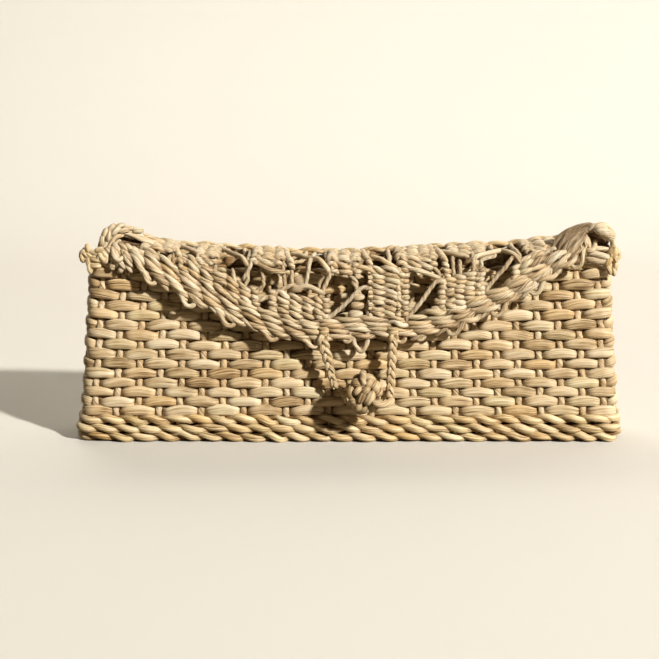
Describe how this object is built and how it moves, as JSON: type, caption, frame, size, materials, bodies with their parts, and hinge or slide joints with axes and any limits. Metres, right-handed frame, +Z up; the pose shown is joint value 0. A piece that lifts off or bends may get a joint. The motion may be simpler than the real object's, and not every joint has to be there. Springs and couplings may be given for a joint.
{
  "type": "clutch purse",
  "caption": "Hand-woven straw envelope clutch: woven tub with roped base, openwork fold-over flap with scalloped edge, braided loop over a knot button.",
  "frame": {"origin": "middle of the tub's base, on the plane it rests on", "axes": "+X to the right seen from the front, the flap's front faces -Y, +Z up"},
  "size_m": [0.3342, 0.0706, 0.1304],
  "materials": {
    "straw_walls": "matte dried fibre, plain weave",
    "straw_base": "matte dried fibre, plain weave",
    "straw_border": "matte dried fibre, twined rope",
    "straw_cord": "matte dried fibre, twisted cord",
    "straw_flap": "matte dried fibre, open weave",
    "straw_flap_rope": "matte dried fibre, twined rope",
    "straw_loop": "matte dried fibre, braid",
    "straw_knot": "matte dried fibre, knotted"
  },
  "bodies": {
    "tub": {"base_panel": "straw_base", "base_border_lower": "straw_border", "base_border_middle": "straw_border", "base_border_upper": "straw_border", "front_wall": "straw_walls", "back_wall": "straw_walls", "side_wall_left": "straw_walls", "side_wall_right": "straw_walls", "corner_cord_front_left": "straw_cord", "corner_cord_front_right": "straw_cord", "corner_cord_back_left": "straw_cord", "corner_cord_back_right": "straw_cord", "rim_cord_front": "straw_cord", "rim_cord_left": "straw_cord", "rim_cord_right": "straw_cord", "rim_knot_left": "straw_cord", "rim_knot_right": "straw_cord", "flap_hinge_row": "straw_cord", "inner_stopper_knot": "straw_knot"},
    "flap_bridge": {"flap_bridge_panel": "straw_flap", "flap_crest_row": "straw_flap_rope", "flap_ear_left": "straw_flap_rope", "flap_ear_right": "straw_flap_rope"},
    "flap_drop": {"flap_drop_panel": "straw_flap", "flap_hem": "straw_flap_rope", "loop_anchor_left": "straw_loop", "loop_anchor_right": "straw_loop", "flap_window_cord_1": "straw_flap", "flap_window_cord_2": "straw_flap", "flap_window_cord_3": "straw_flap", "flap_window_cord_4": "straw_flap", "flap_window_cord_5": "straw_flap", "flap_border_row_1": "straw_flap_rope", "flap_border_row_2": "straw_flap_rope", "flap_border_row_3": "straw_flap_rope", "flap_border_row_4": "straw_flap_rope"},
    "loop": {"closure_loop_leg_left": "straw_loop", "closure_loop_leg_right": "straw_loop", "closure_loop_bight": "straw_loop"},
    "button": {"knot_button": "straw_knot", "knot_shank": "straw_knot"}
  },
  "joints": [
    {"name": "flap_hinge", "type": "hinge", "parent": "tub", "child": "flap_bridge", "pos_m": [0, 0.0165, 0.111], "axis": [-1, 0, 0], "range_deg": [0, 165]},
    {"name": "flap_fold", "type": "hinge", "parent": "flap_bridge", "child": "flap_drop", "pos_m": [0, -0.0225, 0.111], "axis": [-1, 0, 0], "range_deg": [0, 80]},
    {"name": "loop_swing", "type": "hinge", "parent": "flap_drop", "child": "loop", "pos_m": [0.006, -0.0285, 0.068], "axis": [-1, 0, 0], "range_deg": [0, 80]},
    {"name": "button_tilt", "type": "hinge", "parent": "tub", "child": "button", "pos_m": [0.0083, -0.021, 0.034], "axis": [-1, 0, 0], "range_deg": [-6, 6]}
  ]
}
